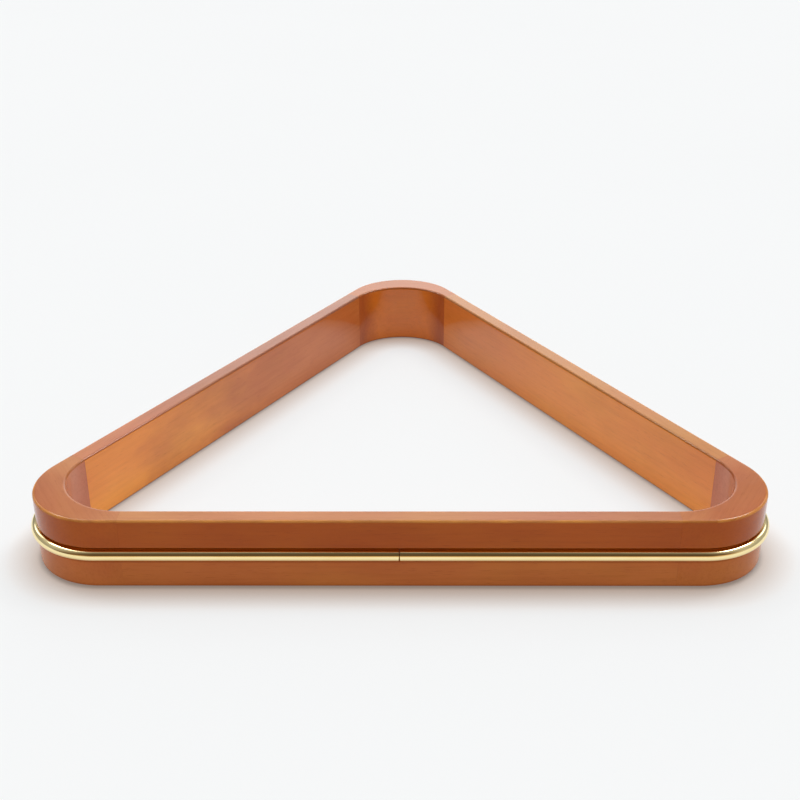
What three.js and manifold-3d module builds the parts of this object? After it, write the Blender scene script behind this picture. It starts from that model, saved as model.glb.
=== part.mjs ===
// Wooden triangle rack for fifteen pool balls, in millimetres, +Z up, standing on Z = 0.
//
// Three straight rails and three corner blocks are butted end to end into a ring. Two dowels
// hide in every joint. A half-round brass band runs round the outside in a routed groove, and
// its two ends meet at the middle of the front rail. X runs along the front rail and +Y points
// from that rail to the far corner. The ring is drawn round the centre of the ball triangle.
import * as THREE from 'three';
import { mergeVertices } from 'three/addons/utils/BufferGeometryUtils.js';
import Module from 'manifold-3d';

const wasm = await Module();
wasm.setup();

// The balls the rack is made for.
const BALL_DIAMETER = 57.15;
const BALL_SLACK = 0.93;

// The wooden ring. A reach is the distance from the centre of the triangle to a rail face.
const INNER_REACH = BALL_DIAMETER * 2 / Math.sqrt(3) + BALL_DIAMETER / 2 + BALL_SLACK;
const WALL = 8.5;
const OUTER_REACH = INNER_REACH + WALL;
const HEIGHT = 32.5;
const INNER_RADIUS = 29;
const OUTER_RADIUS = 31.5;
const EDGE_ROUND = 1.2;
const FOOT_ROUND = 2;

// The joints lie where the inner faces stop being straight.
const JOINT_REACH = Math.sqrt(3) * (INNER_REACH - INNER_RADIUS);
const CLEARANCE = 0.3;

// The brass band sits at the bottom of its groove, which leaves a dark line above the brass.
const BAND_TALL = 4.8;
const BAND_PROUD = 2.35;
const BAND_SEAT = 1.2;
const BAND_END_GAP = 0.4;
const GROOVE_TALL = 6.1;
const GROOVE_DEEP = BAND_SEAT + CLEARANCE;
const GROOVE_BOTTOM = (HEIGHT - GROOVE_TALL) / 2;
const BAND_BOTTOM = GROOVE_BOTTOM + CLEARANCE;

// The dowels, one under the groove and one over it.
const DOWEL_DIAMETER = 4;
const DOWEL_LENGTH = 20;
const DOWEL_LEVELS = { lower: 7, upper: 25.5 };

const CORNER_SPREAD = Math.PI / 3;
const ARC_STEPS = 10;
const ROUND_STEPS = 4;
const DOWEL_STEPS = 24;

// Triangle with rounded corners, one corner pointing to +Y.
function roundedTriangle(reach, radius) {
  const outline = new THREE.Shape();
  const across = 2 * (reach - radius);
  for (const turn of [90, 210, 330]) {
    const middle = THREE.MathUtils.degToRad(turn);
    const x = across * Math.cos(middle);
    const y = across * Math.sin(middle);
    outline.absarc(x, y, radius, middle - CORNER_SPREAD, middle + CORNER_SPREAD, false);
  }
  return outline;
}

// Manifold solid of a closed three.js geometry.
function solidOf(geometry) {
  geometry.deleteAttribute('normal');
  geometry.deleteAttribute('uv');
  const merged = mergeVertices(geometry);
  const vertProperties = merged.attributes.position.array;
  const triVerts = new Uint32Array(merged.index.array);
  return new wasm.Manifold(new wasm.Mesh({ numProp: 3, vertProperties, triVerts }));
}

function geometryOf(solid) {
  const { vertProperties, triVerts } = solid.getMesh();
  const geometry = new THREE.BufferGeometry();
  geometry.setAttribute('position', new THREE.BufferAttribute(vertProperties, 3));
  geometry.setIndex(new THREE.BufferAttribute(triVerts, 1));
  geometry.computeVertexNormals();
  return geometry;
}

// Flat plate from one level to another, its edges rounded inside the outline.
function plate(outline, bottom, top, round = 0) {
  const geometry = new THREE.ExtrudeGeometry(outline, {
    depth: top - bottom - 2 * round,
    curveSegments: ARC_STEPS,
    bevelEnabled: round > 0,
    bevelThickness: round,
    bevelSize: round,
    bevelOffset: -round,
    bevelSegments: ROUND_STEPS,
  });
  geometry.translate(0, 0, bottom + round);
  return solidOf(geometry);
}

function box(width, depth, height, x, y, z) {
  return solidOf(new THREE.BoxGeometry(width, depth, height).translate(x, y, z));
}

// Everything outside the given reach, between two levels.
function outsideOf(reach, radius, bottom, top) {
  const surround = roundedTriangle(reach + WALL, radius + WALL);
  surround.holes.push(roundedTriangle(reach, radius));
  return plate(surround, bottom, top);
}

// The ring as if it were one piece of wood, with its groove cut.
function woodenRing() {
  const outline = roundedTriangle(OUTER_REACH, OUTER_RADIUS);
  outline.holes.push(roundedTriangle(INNER_REACH, INNER_RADIUS));
  const foot = roundedTriangle(OUTER_REACH, OUTER_RADIUS);
  const groove = outsideOf(
    OUTER_REACH - GROOVE_DEEP,
    OUTER_RADIUS - GROOVE_DEEP,
    GROOVE_BOTTOM,
    GROOVE_BOTTOM + GROOVE_TALL,
  );
  return plate(outline, 0, HEIGHT, EDGE_ROUND)
    .intersect(plate(foot, 0, 2 * HEIGHT, FOOT_ROUND))
    .subtract(groove);
}

// Where the dowels cross the joints at both ends of the front rail.
function dowelSpots() {
  const spots = [];
  for (const [end, side] of [['left', -1], ['right', 1]]) {
    for (const [level, z] of Object.entries(DOWEL_LEVELS)) {
      const x = side * JOINT_REACH;
      const y = -(INNER_REACH + OUTER_REACH) / 2;
      spots.push({ end, level, position: new THREE.Vector3(x, y, z) });
    }
  }
  return spots;
}

function dowelCylinder(radius, length) {
  const geometry = new THREE.CylinderGeometry(radius, radius, length, DOWEL_STEPS);
  return geometry.rotateZ(Math.PI / 2);
}

// Holes for the dowels of all six joints, drilled a little long and a little wide.
function dowelHoles() {
  const holes = [];
  for (const { position } of dowelSpots()) {
    const hole = dowelCylinder(DOWEL_DIAMETER / 2 + CLEARANCE, DOWEL_LENGTH + 2 * CLEARANCE);
    const drill = solidOf(hole.translate(...position));
    for (const turn of [0, 120, 240]) {
      holes.push(drill.rotate([0, 0, turn]));
    }
  }
  return wasm.Manifold.union(holes);
}

// Straight length of the front rail.
function railGeometry(ring) {
  const length = 2 * JOINT_REACH - CLEARANCE;
  return geometryOf(ring.intersect(box(length, 2 * WALL, 3 * HEIGHT, 0, -OUTER_REACH, 0)));
}

// Corner block at the right-hand end of the front rail. Its two end faces meet, produced, near
// the centre of the inner arc.
function cornerGeometry(ring) {
  const start = (JOINT_REACH + CLEARANCE / 2) / Math.cos(Math.PI / 6);
  const size = 3 * OUTER_RADIUS;
  const towards = (degrees, distance) => {
    const angle = THREE.MathUtils.degToRad(degrees);
    return new THREE.Vector2(distance * Math.cos(angle), distance * Math.sin(angle));
  };
  const tip = towards(-30, start);
  const wedge = new THREE.Shape([
    tip,
    towards(-90, size).add(tip),
    towards(-30, size).add(tip),
    towards(30, size).add(tip),
  ]);
  return geometryOf(ring.intersect(plate(wedge, -HEIGHT, 2 * HEIGHT)));
}

// Half-round brass strip bent round the ring, open by a hair at the front.
function bandGeometry() {
  const crown = roundedTriangle(OUTER_REACH + BAND_PROUD, OUTER_RADIUS + BAND_PROUD);
  const back = roundedTriangle(OUTER_REACH - BAND_SEAT, OUTER_RADIUS - BAND_SEAT);
  const split = box(BAND_END_GAP, 4 * WALL, HEIGHT, 0, -OUTER_REACH, HEIGHT / 2);
  const band = plate(crown, BAND_BOTTOM, BAND_BOTTOM + BAND_TALL, BAND_PROUD)
    .subtract(plate(back, 0, HEIGHT))
    .subtract(split);
  return geometryOf(band);
}

function stainedWood(color) {
  return new THREE.MeshStandardMaterial({ color, roughness: 0.3, metalness: 0 });
}

function plainWood() {
  return new THREE.MeshStandardMaterial({ color: 0xd8b98a, roughness: 0.7, metalness: 0 });
}

function brass() {
  return new THREE.MeshStandardMaterial({ color: 0xd9b86a, roughness: 0.2, metalness: 1 });
}

function piece(name, geometry, material) {
  const mesh = new THREE.Mesh(geometry, material);
  mesh.name = name;
  return mesh;
}

// One third of the ring: a rail, the corner block at its right-hand end, and the dowels at both
// ends of the rail. The names of the rail's ends are those seen from the front of the rack.
function third({ turn, rail, corner, ends }, railShape, cornerShape) {
  const group = new THREE.Group();
  group.rotation.z = THREE.MathUtils.degToRad(turn);
  group.add(piece(`rail_${rail}`, railShape, stainedWood(0xb9652f)));
  group.add(piece(`corner_${corner}`, cornerShape, stainedWood(0xa85a32)));
  for (const { end, level, position } of dowelSpots()) {
    const shape = dowelCylinder(DOWEL_DIAMETER / 2, DOWEL_LENGTH);
    const dowel = piece(`dowel_${rail}_rail_${ends[end]}_${level}`, shape, plainWood());
    dowel.position.copy(position);
    group.add(dowel);
  }
  return group;
}

function triangleRack() {
  const rack = new THREE.Group();
  rack.name = 'triangle_rack';
  const ring = woodenRing().subtract(dowelHoles());
  const railShape = railGeometry(ring);
  const cornerShape = cornerGeometry(ring);
  const thirds = [
    { turn: 0, rail: 'front', corner: 'right', ends: { left: 'left', right: 'right' } },
    { turn: 120, rail: 'right', corner: 'back', ends: { left: 'front', right: 'back' } },
    { turn: 240, rail: 'left', corner: 'left', ends: { left: 'back', right: 'front' } },
  ];
  for (const part of thirds) {
    rack.add(third(part, railShape, cornerShape));
  }
  rack.add(piece('brass_band', bandGeometry(), brass()));
  // The front rail reaches less far from the centre than the back corner does, so the ring is
  // moved to put the middle of its depth on the origin.
  const frontReach = OUTER_REACH + BAND_PROUD;
  const backReach = 2 * (OUTER_REACH - OUTER_RADIUS) + OUTER_RADIUS + BAND_PROUD;
  rack.position.y = (frontReach - backReach) / 2;
  return rack;
}

export default triangleRack();
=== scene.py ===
"""Looks of the wooden triangle rack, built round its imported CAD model.

The six pieces of wood are made again with finer rounded edges and a lacquered wood finish, and
the brass band with a finer half-round section. The dowels keep the CAD's shape and get a beech
finish. Metres, +Z up, the front rail towards -Y.
"""
import math

import bmesh
import bpy
from mathutils import Matrix, Vector


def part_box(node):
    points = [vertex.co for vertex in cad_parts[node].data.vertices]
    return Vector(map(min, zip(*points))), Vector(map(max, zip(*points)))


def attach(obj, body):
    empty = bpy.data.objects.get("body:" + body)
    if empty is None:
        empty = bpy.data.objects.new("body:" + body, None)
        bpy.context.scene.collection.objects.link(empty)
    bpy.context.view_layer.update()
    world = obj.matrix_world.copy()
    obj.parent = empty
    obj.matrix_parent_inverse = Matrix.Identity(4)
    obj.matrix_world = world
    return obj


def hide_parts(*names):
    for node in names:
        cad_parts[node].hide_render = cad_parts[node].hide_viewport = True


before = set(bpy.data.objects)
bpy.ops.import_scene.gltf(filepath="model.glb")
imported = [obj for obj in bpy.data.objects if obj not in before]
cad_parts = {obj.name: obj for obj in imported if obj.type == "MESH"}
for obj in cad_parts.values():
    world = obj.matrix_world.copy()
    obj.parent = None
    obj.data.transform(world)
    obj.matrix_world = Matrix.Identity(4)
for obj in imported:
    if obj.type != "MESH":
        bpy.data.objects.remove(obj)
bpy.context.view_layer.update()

MM = 0.001

# Sizes that the CAD nodes give. A reach is the distance from the ring's centre to a rail's face.
RAIL_LOW, RAIL_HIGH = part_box("rail_front")
BAND_LOW, BAND_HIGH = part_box("brass_band")
HEIGHT = RAIL_HIGH.z
WALL = RAIL_HIGH.y - RAIL_LOW.y
CAD_GAP = 0.3 * MM
INNER_RADIUS = 29 * MM
OUTER_RADIUS = 31.5 * MM
JOINT_REACH = RAIL_HIGH.x + CAD_GAP / 2
INNER_REACH = JOINT_REACH / math.sqrt(3) + INNER_RADIUS
OUTER_REACH = INNER_REACH + WALL
CENTRE = Vector((0, RAIL_HIGH.y + INNER_REACH, 0))

# The wooden section. The guard sets extra points beside the rounded edges, which keep the
# shading of the flat faces flat.
EDGE_ROUND = 1.2 * MM
FOOT_ROUND = 2 * MM
GUARD = 0.3 * MM
GROOVE_TALL = 6.1 * MM
GROOVE_DEEP = 1.5 * MM
GROOVE_LOW = BAND_LOW.z - CAD_GAP
GROOVE_HIGH = GROOVE_LOW + GROOVE_TALL
LIP_ROUND = 0.25 * MM
LIP_MIDDLE = 0.3 * LIP_ROUND
GLUE_LINE = 0.03 * MM

# The back corner's arc, in degrees from +X towards +Y.
ARC_START = 30
ARC_MIDDLE = 90
ARC_SWEEP = 120

# The half-round brass band.
BAND_SEAT = 1.2 * MM
BAND_PROUD = RAIL_LOW.y - BAND_LOW.y
BAND_MIDDLE = (BAND_LOW.z + BAND_HIGH.z) / 2
BAND_END_GAP = 0.4 * MM
BAND_END_BREAK = 0.12 * MM
BAND_END_SHRINK = 0.95

DOWEL_LEVELS = (7 * MM, 25.5 * MM)
HOLE_RADIUS = 2.1 * MM
HOLE_DEEP = 10.3 * MM

# Gloss, as shares of the full lacquer. Outside a corner it falls from full at the middle to the
# rails' gloss by GLOSS_FADE of the way to the joint. Over the darkened edges, painted shade under
# the band and at the foot, the dulling share is taken away.
RAIL_GLOSS = 0.4
TOP_GLOSS = 0.75
GLOSS_FADE = 0.55
DARKENING_DULLING = 0.5

# Painted shadow of the band: the outer face is darkened down to this far under the groove.
PAINTED_SHADOW_REACH = 1.1 * MM

# Soft lights of the studio: azimuth from +X towards +Y, elevation, spread (degrees), strength.
# Each has its full strength within CORE degrees of its middle, and none at its spread.
BACK_LIGHTS = (
    (90, 8, 32, 2.0), (90, 34, 36, 0.35), (90, 60, 33, 1.8),
    (48, 31, 9, 2.5), (132, 31, 9, 2.5),
)
FRONT_LIGHTS = (
    (240, -2, 26, 0.45), (270, -2, 26, 0.65), (300, -2, 26, 0.62), (330, -2, 28, 0.40),
)
LEFT_LIGHTS = (
    (165, 22, 60, 0.28), (195, 48, 40, 0.08), (150, 60, 35, 0.30),
    (141, 51, 9, 9.0), (149, 62, 9, 4.5),
)
RIGHT_LIGHTS = (
    (15, 22, 60, 0.32), (-15, 48, 40, 0.09), (30, 60, 35, 0.30),
    (39, 51, 9, 14.0), (31, 62, 9, 12.0),
)
SOFT_LIGHTS = BACK_LIGHTS + FRONT_LIGHTS + LEFT_LIGHTS + RIGHT_LIGHTS
AMBIENT = 0.10
CORE = 3

# The sky's tint turns from white to warm between these depths, from 1 behind to -1 in front.
WARM_START = -0.2
WARM_FULL = -0.7
WHITE = (1.0, 1.0, 1.0, 1)
WARM = (1.0, 0.66, 0.38, 1)

# Colours of the outer faces near the foot and near the top: the stain, paler towards the foot as
# painted light from the floor.
OUTER_FOOT_STAIN_AND_PAINTED_LIGHT = (0.69, 0.225, 0.06, 1)
OUTER_TOP_STAIN = (0.50, 0.108, 0.008, 1)

# Metres from the middle of the floor to its sides.
FLOOR_REACH = 6

# Edges that turn by more than this many degrees are shaded sharp.
SHARP_EDGE = 40

ROUND_STEPS = 6
RAIL_STEPS = 48
CORNER_STEPS = 64
STRAIGHT_STEPS = 24
BAND_STEPS = 20
HOLE_STEPS = 24


def direction(degrees):
    return Vector((math.cos(math.radians(degrees)), math.sin(math.radians(degrees)), 0))


# ---------------------------------------------------------------- shapes

def rounded_edge(face, radius, flat, wall_side, wear_and_painted_light):
    """Section points of a rounded edge, from the wall to the flat.

    The wall is above the flat when wall_side is 1, and below it when wall_side is -1.
    """
    points = []
    for i in range(ROUND_STEPS + 1):
        turn = math.pi / 2 * i / ROUND_STEPS
        depth = radius * (1 - math.cos(turn))
        level = flat + wall_side * radius * (1 - math.sin(turn))
        points.append((face, depth, level, wear_and_painted_light * math.sin(2 * turn)))
    return points


def wood_section():
    """Closed section of the wooden ring: (face, depth under it, level, wear and painted light)
    for each point.

    That value runs from 1, rubbed pale, which is wear together with a painted highlight on the
    top outer edge, to -1, dark, which is painted shade under the band.
    """
    # The top outer edge is rubbed pale with a painted highlight, the outer foot gets painted
    # shade, and the inner edges a darker line.
    top_inner = rounded_edge("inner", EDGE_ROUND, HEIGHT, wall_side=-1, wear_and_painted_light=-0.4)
    top_outer = rounded_edge("outer", EDGE_ROUND, HEIGHT, wall_side=-1, wear_and_painted_light=1)
    foot_inner = rounded_edge("inner", EDGE_ROUND, 0, wall_side=1, wear_and_painted_light=-0.4)
    foot_outer = rounded_edge("outer", FOOT_ROUND, 0, wall_side=1, wear_and_painted_light=-0.45)
    upper_lip = [
        ("outer", 0, HEIGHT - EDGE_ROUND - GUARD, 0),
        ("outer", 0, GROOVE_HIGH + LIP_ROUND + GUARD, 0),
        ("outer", 0, GROOVE_HIGH + LIP_ROUND, 0),
        ("outer", LIP_MIDDLE, GROOVE_HIGH + LIP_MIDDLE, 0),
        ("outer", LIP_ROUND, GROOVE_HIGH, 0),
        ("outer", GROOVE_DEEP, GROOVE_HIGH, 0),
    ]
    # The lower lip and the face under it are darkened: the band's painted shadow.
    lower_lip = [
        ("outer", GROOVE_DEEP, GROOVE_LOW, -1),
        ("outer", LIP_ROUND, GROOVE_LOW, -1),
        ("outer", LIP_MIDDLE, GROOVE_LOW - LIP_MIDDLE, -1),
        ("outer", 0, GROOVE_LOW - LIP_ROUND, -0.8),
        ("outer", 0, GROOVE_LOW - PAINTED_SHADOW_REACH, 0),
        ("outer", 0, FOOT_ROUND + GUARD, 0),
    ]
    inner_wall = [
        ("inner", 0, EDGE_ROUND + GUARD, 0),
        ("inner", 0, HEIGHT - EDGE_ROUND - GUARD, 0),
    ]
    top = [
        ("inner", EDGE_ROUND + GUARD, HEIGHT, 0),
        ("outer", EDGE_ROUND + GUARD, HEIGHT, 0),
    ]
    foot = [
        ("outer", FOOT_ROUND + GUARD, 0, 0),
        ("inner", EDGE_ROUND + GUARD, 0, 0),
    ]
    return (top_inner + top + top_outer[::-1] + upper_lip + lower_lip
            + foot_outer + foot + foot_inner[::-1] + inner_wall)


def rail_stations():
    """Places along the front rail: outer and inner face points and their outward normals."""
    half = JOINT_REACH - GLUE_LINE
    stations = []
    for i in range(RAIL_STEPS + 1):
        x = half * (2 * i / RAIL_STEPS - 1)
        outer = (Vector((x, -OUTER_REACH, 0)), direction(-90))
        inner = (Vector((x, -INNER_REACH, 0)), direction(90))
        stations.append({"outer": outer, "inner": inner, "tone": i / RAIL_STEPS,
                         "gloss": RAIL_GLOSS})
    return stations


def corner_stations():
    """Places round the back corner, on rays from the centre of its inner arc."""
    inner_centre = Vector((0, 2 * (INNER_REACH - INNER_RADIUS), 0))
    outer_centre = Vector((0, 2 * (OUTER_REACH - OUTER_RADIUS), 0))
    offset = outer_centre - inner_centre
    stations = []
    for i in range(CORNER_STEPS + 1):
        angle = ARC_START + ARC_SWEEP * i / CORNER_STEPS
        ray = direction(angle)
        along = ray.dot(offset)
        far = along + math.sqrt(along ** 2 - offset.length_squared + OUTER_RADIUS ** 2)
        outer = inner_centre + far * ray
        normal = (outer - outer_centre).normalized()
        if normal.y < 0.5:
            # Below 30 degrees the ray leaves through the straight stretch beside the arc.
            normal = direction(ARC_START if angle < ARC_MIDDLE else ARC_START + ARC_SWEEP)
            far = (OUTER_REACH - inner_centre.dot(normal)) / ray.dot(normal)
            outer = inner_centre + far * ray
        inner = inner_centre + INNER_RADIUS * ray
        away = abs(angle - ARC_MIDDLE) / (ARC_SWEEP / 2)
        gloss = 1 + (RAIL_GLOSS - 1) * min(1, away / GLOSS_FADE)
        stations.append({"outer": (outer, normal), "inner": (inner, -ray), "tone": away,
                         "gloss": gloss})
    return stations


def place(station, face, depth, level):
    point, normal = station[face]
    return point - depth * normal + Vector((0, 0, level))


def skin(bm, rings):
    """Joins rings of vertices, one after the next, with four-sided faces."""
    count = len(rings[0])
    for here, there in zip(rings, rings[1:]):
        for j in range(count):
            k = (j + 1) % count
            bm.faces.new((here[j], here[k], there[k], there[j]))


def loop_edges(bm, ring):
    edges = []
    for a, b in zip(ring, ring[1:] + ring[:1]):
        edges.append(bm.edges.get((a, b)) or bm.edges.new((a, b)))
    return edges


def end_face(bm, ring, station, inward):
    """Closes one end of a piece of wood, leaving its two dowel holes."""
    point, normal = station["outer"]
    middle = point - normal * WALL / 2
    edges = loop_edges(bm, ring)
    for level in DOWEL_LEVELS:
        centre = middle + Vector((0, 0, level))
        mouth, end = [], []
        for i in range(HOLE_STEPS):
            turn = 2 * math.pi * i / HOLE_STEPS
            spoke = math.cos(turn) * normal + math.sin(turn) * Vector((0, 0, 1))
            mouth.append(bm.verts.new(centre + HOLE_RADIUS * spoke))
            end.append(bm.verts.new(centre + HOLE_RADIUS * spoke + HOLE_DEEP * inward))
        edges += loop_edges(bm, mouth)
        skin(bm, [mouth, end])
        bm.faces.new(end)
    bmesh.ops.triangle_fill(bm, edges=edges, use_beauty=True)


def new_object(name, bm):
    """Turns the mesh into an object, with smooth faces and sharp creases."""
    bmesh.ops.recalc_face_normals(bm, faces=bm.faces)
    mesh = bpy.data.meshes.new(name)
    bm.to_mesh(mesh)
    bm.free()
    mesh.shade_smooth()
    mesh.set_sharp_from_angle(angle=math.radians(SHARP_EDGE))
    piece = bpy.data.objects.new(name, mesh)
    bpy.context.scene.collection.objects.link(piece)
    return piece


def share_inside(face, level):
    """1 on the inner face, 0 on the outer face, and in between on the top and the foot."""
    if EDGE_ROUND / 2 < level < HEIGHT - EDGE_ROUND / 2:
        return 1 if face == "inner" else 0
    return 0.5


def lacquer_share(station, face, level, wear_and_painted_light):
    """Share of gloss: full inside, less on the rails' outer faces and over the darkened edges and
    painted shade.
    """
    inside = share_inside(face, level)
    full = {0: station["gloss"], 0.5: TOP_GLOSS, 1: 1}[inside]
    return full * (1 + DARKENING_DULLING * min(wear_and_painted_light, 0))


def wooden_piece(name, stations, inward_start, inward_end, turn, material, node):
    bm = bmesh.new()
    wear_and_painted_light_layer = bm.verts.layers.float.new("wear_and_painted_light")
    inside_layer = bm.verts.layers.float.new("inside")
    tone_layer = bm.verts.layers.float.new("tone")
    gloss_layer = bm.verts.layers.float.new("gloss")
    lay = bm.verts.layers.float_vector.new("lay")
    section = wood_section()
    rings = []
    for station in stations:
        ring = []
        for face, depth, level, wear_and_painted_light in section:
            vertex = bm.verts.new(place(station, face, depth, level))
            vertex[wear_and_painted_light_layer] = wear_and_painted_light
            vertex[inside_layer] = share_inside(face, level)
            vertex[tone_layer] = station["tone"]
            vertex[gloss_layer] = lacquer_share(station, face, level, wear_and_painted_light)
            ring.append(vertex)
        rings.append(ring)
    skin(bm, rings)
    end_face(bm, rings[0], stations[0], inward_start)
    end_face(bm, rings[-1], stations[-1], inward_end)
    for vertex in bm.verts:
        vertex[lay] = vertex.co
    bm.transform(Matrix.Translation(CENTRE) @ Matrix.Rotation(math.radians(turn), 4, "Z"))
    finish_piece(new_object(name, bm), material, node)


def finish_piece(piece, material, node):
    piece.data.materials.append(material)
    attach(piece, "root")
    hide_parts(node)


def front_spots(side):
    """(point, normal) along half of the front rail, from the band's end outwards."""
    end = BAND_END_GAP / 2
    half = math.sqrt(3) * (OUTER_REACH - OUTER_RADIUS)
    distances = [end, end + BAND_END_BREAK]
    for i in range(1, STRAIGHT_STEPS):
        distances.append(half * i / STRAIGHT_STEPS)
    return [(Vector((side * x, -OUTER_REACH, 0)), direction(-90)) for x in distances]


def band_path():
    """(point, normal) round the outside, from one end of the band to the other."""
    across = 2 * (OUTER_REACH - OUTER_RADIUS)
    spots = front_spots(1)
    for middle in (-30, 90, 210):
        start = middle - ARC_SWEEP / 2
        for i in range(CORNER_STEPS + 1):
            normal = direction(start + ARC_SWEEP * i / CORNER_STEPS)
            spots.append((across * direction(middle) + OUTER_RADIUS * normal, normal))
        if middle < 210:
            normal = direction(middle + ARC_SWEEP / 2)
            a = across * direction(middle) + OUTER_RADIUS * normal
            b = across * direction(middle + ARC_SWEEP) + OUTER_RADIUS * normal
            for i in range(1, 2 * STRAIGHT_STEPS):
                spots.append((a.lerp(b, i / (2 * STRAIGHT_STEPS)), normal))
    return spots + front_spots(-1)[::-1]


def band_section():
    """(proud of the wood, level) round the half-round section."""
    half = (BAND_HIGH.z - BAND_LOW.z) / 2
    points = [(-BAND_SEAT, BAND_LOW.z), (-BAND_SEAT, BAND_HIGH.z)]
    for i in range(BAND_STEPS + 1):
        turn = math.pi / 2 - math.pi * i / BAND_STEPS
        points.append((BAND_PROUD * math.cos(turn), BAND_MIDDLE + half * math.sin(turn)))
    return points


def brass_band(material):
    bm = bmesh.new()
    lay = bm.verts.layers.float_vector.new("lay")
    section = band_section()
    spots = band_path()
    rings = []
    along = 0
    previous = spots[0][0]
    for i, (point, normal) in enumerate(spots):
        along += (point - previous).length
        previous = point
        shrink = BAND_END_SHRINK if i in (0, len(spots) - 1) else 1
        ring = []
        for j, (proud, level) in enumerate(section):
            up = Vector((0, 0, BAND_MIDDLE + (level - BAND_MIDDLE) * shrink))
            vertex = bm.verts.new(point + proud * shrink * normal + up)
            vertex[lay] = (along, j / len(section), 0)
            ring.append(vertex)
        rings.append(ring)
    skin(bm, rings)
    bm.faces.new(rings[0])
    bm.faces.new(rings[-1])
    bm.transform(Matrix.Translation(CENTRE))
    piece = new_object("half_round_brass_band", bm)
    finish_piece(piece, material, "brass_band")


# ---------------------------------------------------------------- materials

def add_node(tree, kind, inputs=None, **settings):
    """Adds a node, and sets or links the inputs that are given by name or by place."""
    node = tree.nodes.new(kind)
    for key, value in settings.items():
        setattr(node, key, value)
    for name, value in (inputs or {}).items():
        socket = node.inputs[name]
        if isinstance(value, bpy.types.NodeSocket):
            tree.links.new(value, socket)
        else:
            socket.default_value = value
    return node


def mixed(tree, factor, a, b):
    """Colour between a and b. Places 0, 6 and 7 are the node's colour inputs."""
    node = add_node(tree, "ShaderNodeMix", {0: factor, 6: a, 7: b}, data_type="RGBA")
    return node.outputs[2]


def tinted(tree, factor, base, tint):
    """Colour multiplied by a tint, by a share of its full strength."""
    node = add_node(tree, "ShaderNodeMix", {0: factor, 6: base, 7: tint},
                    data_type="RGBA", blend_type="MULTIPLY")
    return node.outputs[2]


def ranged(tree, value, low, high, to_low, to_high):
    """Value moved from one range to another, and held inside it."""
    inputs = {"Value": value, "From Min": low, "From Max": high,
              "To Min": to_low, "To Max": to_high}
    return add_node(tree, "ShaderNodeMapRange", inputs).outputs["Result"]


def stretched_noise(tree, coords, scale, detail, offset=(0, 0, 0)):
    """Noise with its own scale along each axis, in features per metre."""
    mapping = add_node(tree, "ShaderNodeMapping",
                       {"Vector": coords, "Scale": scale, "Location": offset})
    inputs = {"Vector": mapping.outputs["Vector"], "Scale": 1.0, "Detail": detail}
    return add_node(tree, "ShaderNodeTexNoise", inputs).outputs["Fac"]


def new_material(name):
    material = bpy.data.materials.new(name)
    material.use_nodes = True
    tree = material.node_tree
    tree.nodes.clear()
    shader = add_node(tree, "ShaderNodeBsdfPrincipled")
    output = add_node(tree, "ShaderNodeOutputMaterial")
    tree.links.new(shader.outputs["BSDF"], output.inputs["Surface"])
    return material, tree, shader


def colour(red, green, blue):
    return (red, green, blue, 1)


def attribute(tree, name):
    return add_node(tree, "ShaderNodeAttribute", attribute_name=name)


def stain_and_painted_light(tree, coords, figure, top, inner):
    """Colour of the stain with painted light: deep on the outer face, paler inside, partly as
    painted light, and paler towards the foot as painted light from the floor.

    The top and the inner face each turn from their first colour to their second, towards the
    +X end of a rail or towards both ends of a corner.
    """
    wander = ranged(tree, figure, 0.3, 0.7, -0.1, 0.1)
    tone = attribute(tree, "tone").outputs["Fac"]
    spot = add_node(tree, "ShaderNodeMath", {0: tone, 1: wander}, operation="ADD")
    share = ranged(tree, spot.outputs["Value"], 0.5, 0.85, 0, 1)
    top_tone = mixed(tree, share, *top)
    # Painted light from the floor: the outer face turns paler towards the foot, and the inner
    # face paler and cooler, a painted reflection of the floor.
    level = add_node(tree, "ShaderNodeSeparateXYZ", {"Vector": coords}).outputs["Z"]
    low = ranged(tree, level, 0.1 * HEIGHT, 0.65 * HEIGHT, 1, 0)
    inner_tone = tinted(tree, low, mixed(tree, share, *inner), colour(1.04, 1.12, 1.25))
    outer_tone = mixed(tree, low, OUTER_TOP_STAIN, OUTER_FOOT_STAIN_AND_PAINTED_LIGHT)
    inside = attribute(tree, "inside").outputs["Fac"]
    outer_share = ranged(tree, inside, 0, 0.5, 0, 1)
    outer_half = mixed(tree, outer_share, outer_tone, top_tone)
    inner_share = ranged(tree, inside, 0.5, 1, 0, 1)
    return mixed(tree, inner_share, outer_half, inner_tone)


def grained(tree, coords, figure, streaks, offset, base):
    """Base colour with dark and golden patches, streaks along the grain, and pores."""
    hue = stretched_noise(tree, coords, (16, 40, 36), 3, (offset[1], offset[0], 4))
    pores = stretched_noise(tree, coords, (180, 2600, 2600), 2, offset)
    patch_share = ranged(tree, figure, 0.35, 0.65, 0.5, 0)
    patched = tinted(tree, patch_share, base, colour(0.80, 0.68, 0.60))
    golden_share = ranged(tree, hue, 0.45, 0.65, 0, 1)
    golden = tinted(tree, golden_share, patched, colour(0.99, 1.07, 0.94))
    streak_share = ranged(tree, streaks, 0.45, 0.75, 0, 0.4)
    streaked = tinted(tree, streak_share, golden, colour(0.82, 0.74, 0.64))
    pore_share = ranged(tree, pores, 0.62, 0.74, 0, 0.4)
    return tinted(tree, pore_share, streaked, colour(0.62, 0.47, 0.38))


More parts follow.
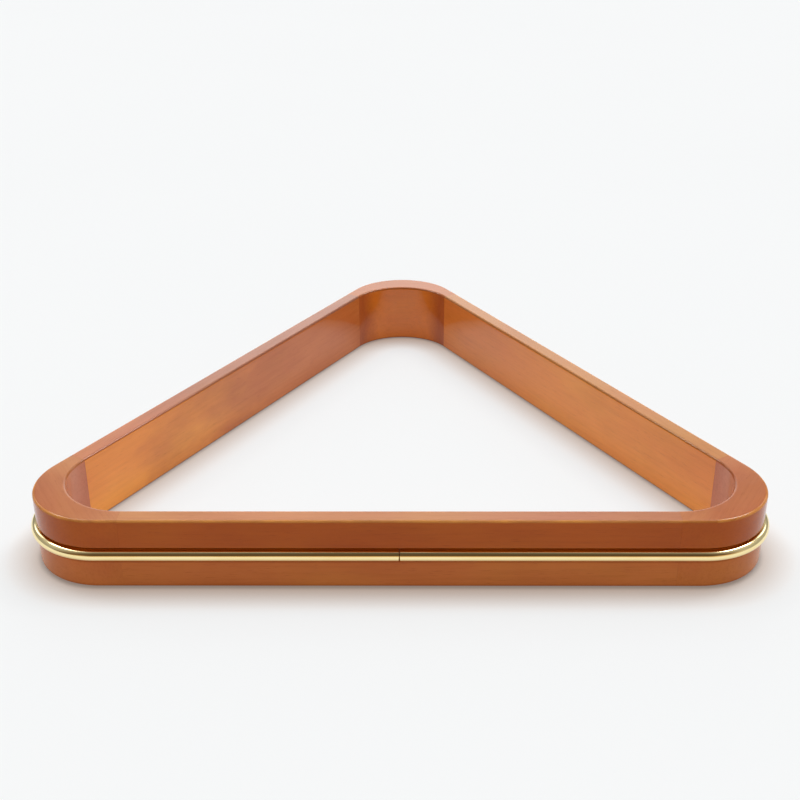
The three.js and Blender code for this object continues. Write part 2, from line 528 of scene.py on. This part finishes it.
def worn_and_painted_light(tree, coords, offset, base):
    """Base colour with painted shade under the band and at the foot, a darker line along the
    inner edges, and a pale top outer edge of rubbed wear with a painted highlight.
    """
    wear_and_painted_light = attribute(tree, "wear_and_painted_light").outputs["Fac"]
    # Painted shade under the band and at the foot, and a darker line along the inner edges.
    darkened = ranged(tree, wear_and_painted_light, 0, -1, 0, 0.9)
    darkened_colour = tinted(tree, darkened, base, colour(0.50, 0.38, 0.34))
    # The top outer edge turns pale: rubbed wear together with a painted highlight.
    rub = stretched_noise(tree, coords, (60, 200, 200), 3, offset)
    rubbed = ranged(tree, rub, 0.4, 0.7, 0.25, 0.9)
    bared_and_highlit = ranged(tree, wear_and_painted_light, 0, 1, 0, 1)
    share = add_node(tree, "ShaderNodeMath", {0: bared_and_highlit, 1: rubbed}, operation="MULTIPLY")
    return mixed(tree, share.outputs["Value"], darkened_colour, colour(0.87, 0.38, 0.08))


def bump(tree, height, strength, distance):
    inputs = {"Height": height, "Strength": strength, "Distance": distance}
    return add_node(tree, "ShaderNodeBump", inputs).outputs["Normal"]


def lacquered_wood(name, top, inner, offset):
    """Stained hardwood under gloss lacquer, with painted light and shade in its colour, and its
    grain along the piece's own X.
    """
    material, tree, shader = new_material(name)
    coords = attribute(tree, "lay").outputs["Vector"]
    figure = stretched_noise(tree, coords, (22, 55, 50), 4, offset)
    streaks = stretched_noise(tree, coords, (40, 900, 700), 4, offset)
    ripple = stretched_noise(tree, coords, (70, 110, 110), 2, offset)
    stain_and_light = stain_and_painted_light(tree, coords, figure, top, inner)
    grain = grained(tree, coords, figure, streaks, offset, stain_and_light)
    tree.links.new(worn_and_painted_light(tree, coords, offset, grain), shader.inputs["Base Color"])
    rough = ranged(tree, streaks, 0.3, 0.7, 0.38, 0.55)
    tree.links.new(rough, shader.inputs["Roughness"])
    tree.links.new(bump(tree, streaks, 0.15, 0.1 * MM), shader.inputs["Normal"])
    shader.inputs["Specular IOR Level"].default_value = 0.0
    tree.links.new(attribute(tree, "gloss").outputs["Fac"], shader.inputs["Coat Weight"])
    shader.inputs["Coat Roughness"].default_value = 0.09
    tree.links.new(bump(tree, ripple, 0.12, 0.6 * MM), shader.inputs["Coat Normal"])
    return material


def polished_brass():
    """Brass with faint drawing lines along the band, and slight tarnish."""
    material, tree, shader = new_material("polished_brass")
    lay = attribute(tree, "lay").outputs["Vector"]
    coords = add_node(tree, "ShaderNodeTexCoord").outputs["Object"]
    lines = stretched_noise(tree, lay, (12, 60, 1), 3)
    tarnish = stretched_noise(tree, coords, (60, 60, 60), 4)
    tarnished = ranged(tree, tarnish, 0.4, 0.75, 0, 0.5)
    metal = mixed(tree, tarnished, colour(1.0, 0.84, 0.45), colour(0.95, 0.72, 0.32))
    tree.links.new(metal, shader.inputs["Base Color"])
    rough = ranged(tree, tarnish, 0.35, 0.7, 0.05, 0.12)
    tree.links.new(rough, shader.inputs["Roughness"])
    shader.inputs["Metallic"].default_value = 1.0
    tree.links.new(bump(tree, lines, 0.1, 0.1 * MM), shader.inputs["Normal"])
    return material


def plain_beech():
    """Unfinished dowel wood, with its grain along the dowel."""
    material, tree, shader = new_material("plain_beech")
    coords = add_node(tree, "ShaderNodeTexCoord").outputs["Object"]
    grain = stretched_noise(tree, coords, (300, 300, 2200), 4)
    share = ranged(tree, grain, 0.35, 0.7, 0, 1)
    wood = mixed(tree, share, colour(0.70, 0.50, 0.30), colour(0.50, 0.32, 0.17))
    tree.links.new(wood, shader.inputs["Base Color"])
    rough = ranged(tree, grain, 0.3, 0.7, 0.6, 0.8)
    tree.links.new(rough, shader.inputs["Roughness"])
    tree.links.new(bump(tree, grain, 0.3, 0.1 * MM), shader.inputs["Normal"])
    return material


def openness(tree, distance):
    """How open the surroundings are within the distance: 1 in the open, less near the rack."""
    return add_node(tree, "ShaderNodeAmbientOcclusion", {"Distance": distance}).outputs["AO"]


def floor_material():
    """White panel lit from inside, which keeps the shadows on it light.

    Its light dims and turns warmer close to the rack, and dims again right at its foot.
    """
    material, tree, shader = new_material("pale_floor")
    coords = add_node(tree, "ShaderNodeTexCoord").outputs["Object"]
    cloud = stretched_noise(tree, coords, (3, 3, 3), 2)
    pale = mixed(tree, cloud, colour(0.245, 0.25, 0.25), colour(0.255, 0.26, 0.26))
    tree.links.new(pale, shader.inputs["Base Color"])
    shader.inputs["Roughness"].default_value = 0.6
    shader.inputs["Specular IOR Level"].default_value = 0.0
    near = openness(tree, 20 * MM)
    clear = ranged(tree, near, 0.5, 1, 0, 1)
    tint = mixed(tree, clear, colour(1.0, 0.82, 0.71), colour(0.985, 1.0, 1.01))
    tree.links.new(tint, shader.inputs["Emission Color"])
    glow = ranged(tree, near, 0.5, 0.92, 0.40, 0.655)
    foot_share = ranged(tree, openness(tree, 3 * MM), 0.5, 0.9, 0.6, 1)
    strength = add_node(tree, "ShaderNodeMath", {0: glow, 1: foot_share}, operation="MULTIPLY")
    tree.links.new(strength.outputs["Value"], shader.inputs["Emission Strength"])
    return material


# ---------------------------------------------------------------- stage

def make_floor():
    bm = bmesh.new()
    bmesh.ops.create_grid(bm, x_segments=8, y_segments=8, size=FLOOR_REACH)
    floor = new_object("studio_floor", bm)
    floor.data.materials.append(floor_material())


def make_world():
    """Soft lights all round, brightest behind and high at both sides, and warm in front."""
    world = bpy.data.worlds.new("studio")
    bpy.context.scene.world = world
    world.use_nodes = True
    tree = world.node_tree
    tree.nodes.clear()
    way = add_node(tree, "ShaderNodeTexCoord").outputs["Generated"]
    total = AMBIENT
    for azimuth, elevation, spread, strength in SOFT_LIGHTS:
        middle = math.cos(math.radians(elevation)) * direction(azimuth)
        middle.z = math.sin(math.radians(elevation))
        nearness = add_node(tree, "ShaderNodeVectorMath", {0: way, 1: middle},
                            operation="DOT_PRODUCT").outputs["Value"]
        inputs = {"Value": nearness, "To Max": strength}
        inputs["From Min"] = math.cos(math.radians(spread))
        inputs["From Max"] = math.cos(math.radians(CORE))
        glow = add_node(tree, "ShaderNodeMapRange", inputs, interpolation_type="SMOOTHSTEP")
        total = add_node(tree, "ShaderNodeMath", {0: glow.outputs["Result"], 1: total},
                         operation="ADD").outputs["Value"]
    depth = add_node(tree, "ShaderNodeSeparateXYZ", {"Vector": way}).outputs["Y"]
    frontness = ranged(tree, depth, WARM_START, WARM_FULL, 0, 1)
    tint = mixed(tree, frontness, WHITE, WARM)
    background = add_node(tree, "ShaderNodeBackground", {"Color": tint, "Strength": total})
    output = add_node(tree, "ShaderNodeOutputWorld")
    tree.links.new(background.outputs["Background"], output.inputs["Surface"])


def make_camera():
    """Looks from the front and 26 degrees above, with a slight roll."""
    spot = Vector((3.2, -569.0, 296.2)) * MM
    aim = Vector((-0.7, 38.7, 0)) * MM
    roll = math.radians(-0.17)
    camera = bpy.data.cameras.new("camera")
    camera.sensor_width = 36
    camera.lens = 55.5
    camera.clip_start = 0.01
    camera.clip_end = 50
    eye = bpy.data.objects.new("camera", camera)
    eye.location = spot
    eye.rotation_mode = "QUATERNION"
    facing = (aim - spot).to_track_quat("-Z", "Y").to_matrix()
    eye.rotation_quaternion = (facing @ Matrix.Rotation(roll, 3, "Z")).to_quaternion()
    bpy.context.scene.collection.objects.link(eye)
    bpy.context.scene.camera = eye


# ---------------------------------------------------------------- the rack

def make_wood():
    """Makes the six pieces. Each has its turn, and two colours each for its top and inner face;
    the inner colours are paler than the outer stain partly as painted light.
    """
    inward = Vector((1, 0, 0))
    rails = {
        "front": (0, (colour(0.575, 0.225, 0.09), colour(0.49, 0.175, 0.08)),
                  (colour(0.64, 0.195, 0.055), colour(0.64, 0.195, 0.055))),
        # The right rail's inner face darkens towards the back corner: painted shade.
        "right": (120, (colour(0.55, 0.213, 0.05), colour(0.51, 0.20, 0.045)),
                  (colour(0.97, 0.34, 0.057), colour(0.77, 0.23, 0.047))),
        "left": (240, (colour(0.415, 0.155, 0.078), colour(0.55, 0.187, 0.083)),
                 (colour(0.63, 0.19, 0.052), colour(0.98, 0.36, 0.057))),
    }
    for i, (side, (turn, top, inner)) in enumerate(rails.items()):
        material = lacquered_wood(f"rail_wood_{side}", top, inner, (3 * i, 0.7 * i, 0))
        wooden_piece(f"turned_rail_{side}", rail_stations(), inward, -inward, turn,
                     material, f"rail_{side}")
    corners = {
        # The back corner's inner face darkens towards both joints: painted shade.
        "back": (0, (colour(0.52, 0.165, 0.045), colour(0.52, 0.165, 0.045)),
                 (colour(0.88, 0.26, 0.03), colour(0.50, 0.12, 0.03))),
        # The front corners' inner faces have more blue than the rails' inner faces, partly as a
        # painted sheen.
        "left": (120, (colour(0.48, 0.155, 0.05), colour(0.54, 0.20, 0.075)),
                 (colour(0.62, 0.21, 0.10), colour(0.62, 0.21, 0.10))),
        "right": (240, (colour(0.46, 0.125, 0.032), colour(0.53, 0.18, 0.055)),
                  (colour(0.65, 0.22, 0.10), colour(0.65, 0.22, 0.10))),
    }
    for i, (side, (turn, top, inner)) in enumerate(corners.items()):
        material = lacquered_wood(f"corner_wood_{side}", top, inner, (5 * i + 1, 0.4 * i, 2))
        wooden_piece(f"turned_corner_{side}", corner_stations(), direction(120), direction(60),
                     turn, material, f"corner_{side}")


def finish_dowels():
    beech = plain_beech()
    for name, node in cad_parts.items():
        if name.startswith("dowel"):
            node.data.materials.clear()
            node.data.materials.append(beech)


def set_colour_management():
    bpy.context.scene.view_settings.view_transform = "Standard"
    bpy.context.scene.view_settings.look = "None"


make_wood()
brass_band(polished_brass())
finish_dowels()
make_floor()
make_world()
make_camera()
set_colour_management()
